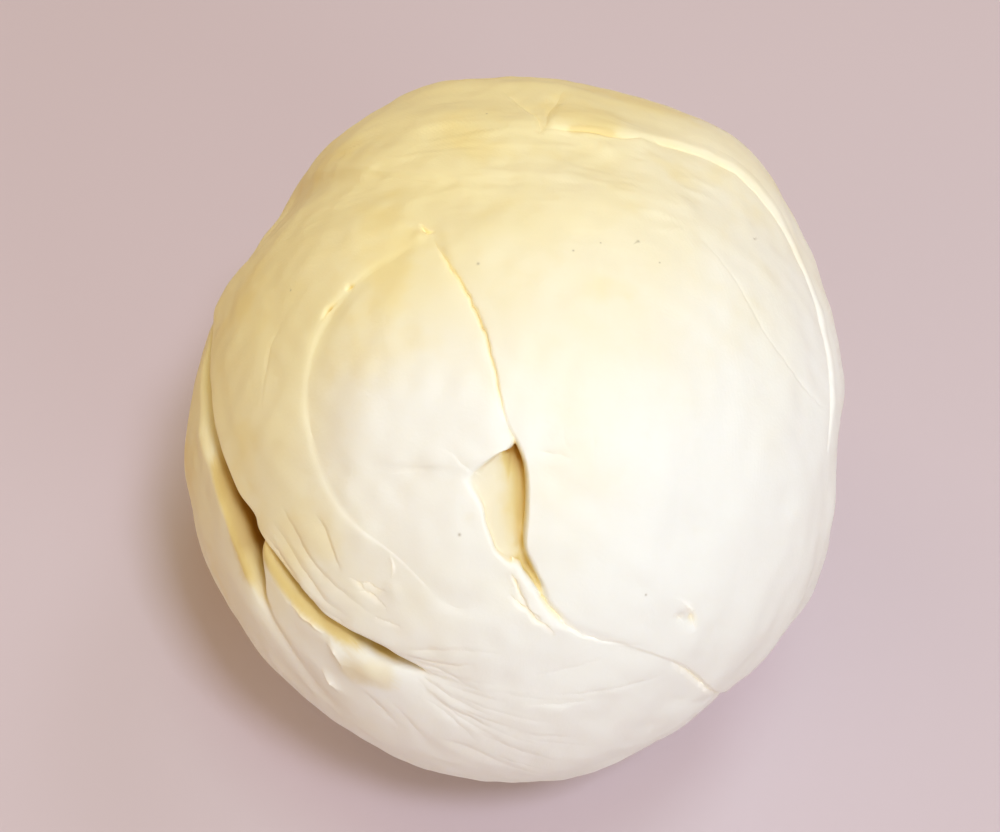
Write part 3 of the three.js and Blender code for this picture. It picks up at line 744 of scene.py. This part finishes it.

# ------------------------------------------------------------------ the curd
# Stretched-curd cheese, pulled in hot whey and rubbed with salt. Its skin is smooth, moist and satin,
# nearly white towards the lower right and butter yellow towards the upper left, with a soft glow from
# inside. Its gaps and creases get painted shade in cream and ochre. The grain is finer than it shows, so it
# is drawn at about a millimetre.


def linear(text):
    """An sRGB hex colour as the linear colour a shader takes."""
    parts = [int(text[i:i + 2], 16) / 255 for i in (1, 3, 5)]
    return [c / 12.92 if c <= 0.04045 else ((c + 0.055) / 1.055) ** 2.4 for c in parts] + [1.0]


def add(material, kind, settings=None, links=None):
    """Adds a node, with its settings and the sockets that feed it."""
    node = material.node_tree.nodes.new(kind)
    for key, value in (settings or {}).items():
        if isinstance(key, str) and hasattr(node, key):
            setattr(node, key, value)
        else:
            node.inputs[key].default_value = value
    for key, source in (links or {}).items():
        material.node_tree.links.new(source, node.inputs[key])
    return node


curd = bpy.data.materials.new("pulled_curd_cheese")
curd.use_nodes = True
curd.node_tree.nodes.clear()
where = add(curd, "ShaderNodeTexCoord")
fold = add(curd, "ShaderNodeAttribute", {"attribute_name": "fold"})
centred = add(curd, "ShaderNodeVectorMath", {"operation": "SUBTRACT", 1: middle},
              {0: where.outputs["Object"]})
# it is yellower towards the upper left, in clouds of about 22 mm, and whitest under the tongue's tip
towards = -0.6 * RIGHT + 0.8 * UP
upper_left_share = add(curd, "ShaderNodeVectorMath", {"operation": "DOT_PRODUCT", 1: towards},
           {0: centred.outputs["Vector"]})
cloudy = add(curd, "ShaderNodeTexNoise", {"Scale": 1 / (22 * MM), "Detail": 3, "Roughness": 0.55},
             {"Vector": centred.outputs["Vector"]})
drift = add(curd, "ShaderNodeMath", {"operation": "MULTIPLY_ADD", 1: 34 * MM},
            {0: cloudy.outputs["Fac"], 2: upper_left_share.outputs["Value"]})
yellowing = add(curd, "ShaderNodeMapRange", {"interpolation_type": "SMOOTHSTEP", "From Min": -12 * MM,
                                          "From Max": 62 * MM},
             {"Value": drift.outputs["Value"]})
whitest_point = place(13, 200) * MEAN * MM
away = add(curd, "ShaderNodeVectorMath", {"operation": "DISTANCE", 1: whitest_point},
           {0: centred.outputs["Vector"]})
whiter_near = add(curd, "ShaderNodeMapRange", {"interpolation_type": "SMOOTHSTEP", "From Min": 7 * MM,
                                         "From Max": 27 * MM, "To Min": 0.2},
            {"Value": away.outputs["Value"]})
yellowness = add(curd, "ShaderNodeMath", {"operation": "MULTIPLY"},
          {0: yellowing.outputs["Result"], 1: whiter_near.outputs["Result"]})
skin = add(curd, "ShaderNodeMix", {"data_type": "RGBA", 6: linear("#F8F8F2"), 7: linear("#F4E6AC")},
           {"Factor": yellowness.outputs["Value"]})
# butter yellow blotches of about 13 mm, only where it is yellower
blotch = add(curd, "ShaderNodeTexNoise", {"Scale": 1 / (13 * MM), "Detail": 3, "Roughness": 0.5},
             {"Vector": centred.outputs["Vector"]})
lemon = add(curd, "ShaderNodeMapRange", {"interpolation_type": "SMOOTHSTEP", "From Min": 0.48,
                                         "From Max": 0.7, "To Max": 0.6},
            {"Value": blotch.outputs["Fac"]})
rich = add(curd, "ShaderNodeMath", {"operation": "MULTIPLY"},
           {0: lemon.outputs["Result"], 1: yellowness.outputs["Value"]})
patched = add(curd, "ShaderNodeMix", {"data_type": "RGBA", 7: linear("#F2DD92")},
              {"Factor": rich.outputs["Value"], 6: skin.outputs[2]})
# painted shade: the gaps and creases are painted cream, and ochre where they are deepest
creamy = add(curd, "ShaderNodeMapRange", {"interpolation_type": "SMOOTHSTEP", "From Min": 0.04,
                                          "From Max": 0.5},
             {"Value": fold.outputs["Fac"]})
cream = add(curd, "ShaderNodeMix", {"data_type": "RGBA", 7: linear("#E7D18C")},
            {"Factor": creamy.outputs["Result"], 6: patched.outputs[2]})
deepest_shade = add(curd, "ShaderNodeMapRange", {"interpolation_type": "SMOOTHSTEP", "From Min": 0.35,
                                         "From Max": 1.0},
            {"Value": fold.outputs["Fac"]})
tinted = add(curd, "ShaderNodeMix", {"data_type": "RGBA", 7: linear("#B88A36")},
             {"Factor": deepest_shade.outputs["Result"], 6: cream.outputs[2]})
# the burnt specks
speck = add(curd, "ShaderNodeAttribute", {"attribute_name": "speck"})
dotted = add(curd, "ShaderNodeMix", {"data_type": "RGBA", 7: linear("#94825F")},
             {"Factor": speck.outputs["Fac"], 6: tinted.outputs[2]})
# the grain of the pulled curd
grain = add(curd, "ShaderNodeTexNoise", {"Scale": 1 / (1.1 * MM), "Detail": 4, "Roughness": 0.6},
            {"Vector": centred.outputs["Vector"]})
relief = add(curd, "ShaderNodeBump", {"Strength": 0.25, "Distance": 0.12 * MM},
             {"Height": grain.outputs["Fac"]})
surface = add(curd, "ShaderNodeBsdfPrincipled", {
    "subsurface_method": "BURLEY", "Roughness": 0.52, "IOR": 1.4, "Subsurface Weight": 1.0,
    "Subsurface Radius": (1.0, 0.88, 0.6), "Subsurface Scale": 1.2 * MM},
    {"Base Color": dotted.outputs[2], "Normal": relief.outputs["Normal"]})
add(curd, "ShaderNodeOutputMaterial", {}, {"Surface": surface.outputs["BSDF"]})
cheese.data.materials.clear()
cheese.data.materials.append(curd)
cheese.data.polygons.foreach_set("material_index", np.zeros(len(cheese.data.polygons), np.int32))

# ------------------------------------------------------------------ the floor
# A round sheet of matt pale paper that the ball stands on. It is the stage, not part of the
# object: soft and without shine, so that it takes a soft shadow and sends a little light back.
bpy.ops.object.select_all(action="DESELECT")
bpy.ops.mesh.primitive_circle_add(vertices=128, radius=1, fill_type="NGON")
floor = bpy.context.object
floor.name = "floor"
paper = bpy.data.materials.new("matt_pale_paper")
paper.use_nodes = True
paper.node_tree.nodes.clear()
sheet = add(paper, "ShaderNodeBsdfPrincipled", {"Base Color": linear("#D5C6CB"), "Roughness": 0.9})
add(paper, "ShaderNodeOutputMaterial", {}, {"Surface": sheet.outputs["BSDF"]})
floor.data.materials.append(paper)

# ------------------------------------------------------------------ camera and lights
# The camera looks down on the ball at fifty degrees, along FACE. The softboxes above and on the
# right are strong and cool, and those on the left are weak and warm.
scene = bpy.context.scene
scene.view_settings.view_transform = "Standard"
aim = middle + (RIGHT * -3 + UP * 1) * MM
DISTANCE = 330
camera = bpy.data.objects.new("camera", bpy.data.cameras.new("camera"))
scene.collection.objects.link(camera)
camera.data.lens = 70
camera.data.sensor_width = 36
camera.data.clip_start = 0.01
camera.data.clip_end = 20
camera.location = aim + FACE * DISTANCE * MM
camera.rotation_euler = (math.radians(90) - tilt, 0, 0)
scene.camera = camera


def softbox(name, at, size, power, colour):
    """A square softbox that faces the ball, in metres and watts."""
    lamp = bpy.data.lights.new(name, "AREA")
    lamp.shape = "SQUARE"
    lamp.size = size
    lamp.energy = power
    lamp.color = linear(colour)[:3]
    box = bpy.data.objects.new(name, lamp)
    scene.collection.objects.link(box)
    box.location = at
    x, y, z = np.array(at) - middle
    box.rotation_euler = (math.atan2(math.hypot(x, y), z), 0, math.atan2(x, -y))


softbox("key", (0.283, -0.544, 1.14), 0.2, 7.3, "#E2E8FF")
softbox("overhead", (0.15, -0.15, 1.28), 0.3, 1.8, "#D4FFFA")
softbox("back_right", (0.50, 0.435, 1.11), 0.4, 2.3, "#E4EAFF")
softbox("front_right", (0.613, -0.975, 0.525), 0.4, 2.6, "#D6F8FF")
softbox("left", (-0.90, -0.62, 0.62), 0.6, 1.0, "#FFF0D0")
softbox("back_left", (-0.65, 0.45, 1.00), 0.5, 1.0, "#FFF0D8")

# ------------------------------------------------------------------ the room
# The room fills the shadows with the warm light of a lamp on wooden furniture. It is out of the
# picture: what the camera sees behind the floor is a pale wall.
world = bpy.data.worlds.new("studio")
scene.world = world
world.use_nodes = True
world.node_tree.nodes.clear()
glow = add(world, "ShaderNodeBackground", {"Color": linear("#AD9471"), "Strength": 1.0})
pale = add(world, "ShaderNodeBackground", {"Color": linear("#CFC3C4"), "Strength": 1.0})
ray = add(world, "ShaderNodeLightPath")
both = add(world, "ShaderNodeMixShader", {},
           {0: ray.outputs["Is Camera Ray"], 1: glow.outputs["Background"],
            2: pale.outputs["Background"]})
add(world, "ShaderNodeOutputWorld", {}, {"Surface": both.outputs["Shader"]})
